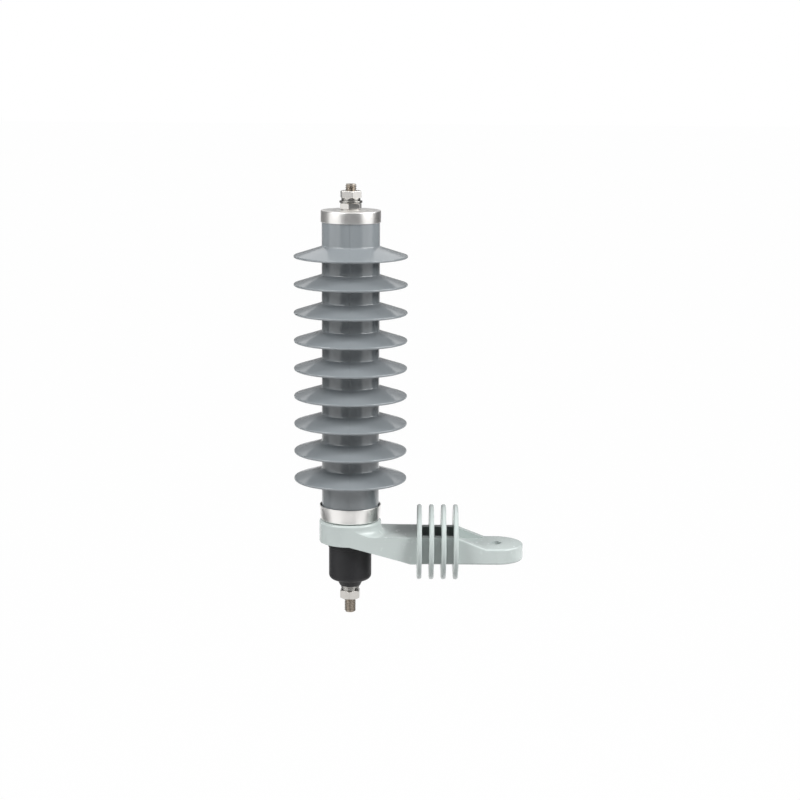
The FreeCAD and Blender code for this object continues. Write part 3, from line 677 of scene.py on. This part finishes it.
def makeFloor(settings):
    height = cadBox[0][2] - settings["floorDrop"]
    bpy.ops.mesh.primitive_plane_add(size=settings["floorSize"], location=(axisX, 0, height))
    floor = bpy.context.object
    floor.name = "floor"
    finish, shader = newFinish(
        "paleFloor", Base_Color=settings["floorColour"], Roughness=settings["floorRoughness"]
    )
    white = addNode(finish, "ShaderNodeEmission")
    mix = addNode(finish, "ShaderNodeMixShader")
    share = addNode(finish, "ShaderNodeMath", operation="MULTIPLY")
    share.inputs[1].default_value = settings["floorGlow"]
    surface = finish.node_tree.nodes["Material Output"].inputs["Surface"]
    link(finish, seenRays(finish), share.inputs[0])
    link(finish, share.outputs[0], mix.inputs["Fac"])
    link(finish, shader.outputs["BSDF"], mix.inputs[1])
    link(finish, white.outputs["Emission"], mix.inputs[2])
    link(finish, mix.outputs["Shader"], surface)
    floor.data.materials.append(finish)


def makeSky(settings):
    world = bpy.data.worlds.new("studio")
    bpy.context.scene.world = world
    world.use_nodes = True
    soft = world.node_tree.nodes["Background"]
    coords = addNode(world, "ShaderNodeTexCoord")
    parts = addNode(world, "ShaderNodeSeparateXYZ")
    tone = addNode(world, "ShaderNodeValToRGB")
    tone.color_ramp.elements[0].color = settings["skyLow"]
    tone.color_ramp.elements[1].color = settings["skyHigh"]
    white = addNode(world, "ShaderNodeBackground", Color=(1, 1, 1, 1))
    mix = addNode(world, "ShaderNodeMixShader")
    surface = world.node_tree.nodes["World Output"].inputs["Surface"]
    link(world, coords.outputs["Generated"], parts.inputs["Vector"])
    link(world, parts.outputs["Z"], tone.inputs["Fac"])
    link(world, tone.outputs["Color"], soft.inputs["Color"])
    link(world, seenRays(world), mix.inputs["Fac"])
    link(world, soft.outputs["Background"], mix.inputs[1])
    link(world, white.outputs["Background"], mix.inputs[2])
    link(world, mix.outputs["Shader"], surface)


lampSettings = {
    # azimuth from the camera's side, elevation, distance, width, height, watts
    "left": (-62, 34, 1.5, 0.5, 0.8, 22),
    "right": (62, 34, 1.5, 0.5, 0.8, 26.5),
}

cardSettings = {
    # azimuth from the camera's side, elevation, distance, width, height, grey, glow
    "frontLow": (5, -10, 0.91, 1.6, 0.30, 0.3, 0),
    "footFront": (-10, -47, 0.37, 0.28, 0.08, 0.4, 0),
    "collarRight": (72, -43, 0.284, 0.13, 0.08, 0.25, 0),
    "collarLeft": (-107, -33.5, 0.35, 0.28, 0.08, 0.35, 0),
    "footRight": (112, -47, 0.37, 0.30, 0.08, 0.2, 0),
    "footLeft": (-118, -47, 0.37, 0.26, 0.08, 0.2, 0),
    "frontWide": (3, 0, 2.4, 4.7, 3.0, 0.7, 0),
    "rearRight": (124, 0, 1.5, 1.6, 3.0, 0.12, 0),
    "rearLeft": (-122, 0, 1.5, 1.7, 3.0, 0.28, 0),
    "rear": (180, 9, 1.5, 1.4, 0.8, 0.40, 0),
    "boxLeft": (-50, 27, 1.3, 0.9, 0.4, 0.5, 4.5),
    "boxRight": (74, 29, 1.3, 1.4, 0.5, 0.5, 5.5),
}


def aimAt(thing, target):
    thing.rotation_euler = (target - thing.location).to_track_quat("-Z", "Y").to_euler()


def aroundPart(azimuth, elevation, distance, target):
    turn, rise = math.radians(azimuth), math.radians(elevation)
    level = math.cos(rise)
    way = Vector((math.sin(turn) * level, -math.cos(turn) * level, math.sin(rise)))
    return target + way * distance


def makeLamps(settings, target):
    for name, (azimuth, elevation, distance, width, height, watts) in settings.items():
        light = bpy.data.lights.new(name, "AREA")
        light.shape = "RECTANGLE"
        light.size, light.size_y = width, height
        light.energy = watts
        lamp = addObject(name, light)
        lamp.location = aroundPart(azimuth, elevation, distance, target)
        lamp.visible_glossy = False  # the steel mirrors the backdrop and the cards instead
        aimAt(lamp, target)


def makeCards(settings, target):
    # only gloss sees these: the grey ones put bands in the steel, and two glow as soft boxes
    for name, (azimuth, elevation, distance, width, height, grey, glow) in settings.items():
        place = aroundPart(azimuth, elevation, distance, target)
        bpy.ops.mesh.primitive_plane_add(size=1, location=place)
        card = bpy.context.object
        card.name = name + "Card"
        card.scale = (width, height, 1)
        aimAt(card, target)
        finish, _ = newFinish(
            card.name, Base_Color=(grey, grey, grey, 1), Roughness=1.0,
            Emission_Color=(1, 1, 1, 1), Emission_Strength=glow,
        )
        card.data.materials.append(finish)
        card.visible_camera = False
        card.visible_diffuse = False
        card.visible_shadow = False


cameraSettings = {
    "lens": 83.35,
    "sensor": 36,
    "distance": 1.636,
    "elevation": 10.6,
    "beside": 0.0437,  # from the axis to the point aimed at
    "aimHeight": 0.1434,
    "roll": 0.4,
}


def makeCamera(settings):
    target = Vector((axisX + settings["beside"], 0, settings["aimHeight"]))
    lens = bpy.data.cameras.new("camera")
    lens.lens = settings["lens"]
    lens.sensor_width = settings["sensor"]
    camera = addObject("camera", lens)
    camera.location = aroundPart(0, settings["elevation"], settings["distance"], target)
    aimAt(camera, target)
    camera.rotation_euler.rotate_axis("Z", math.radians(settings["roll"]))
    bpy.context.scene.camera = camera
    return target


aimPoint = makeCamera(cameraSettings)
makeFloor(stageSettings)
makeSky(stageSettings)
makeLamps(lampSettings, aimPoint)
makeCards(cardSettings, aimPoint)
bpy.context.scene.view_settings.view_transform = "Standard"
print("stage made")
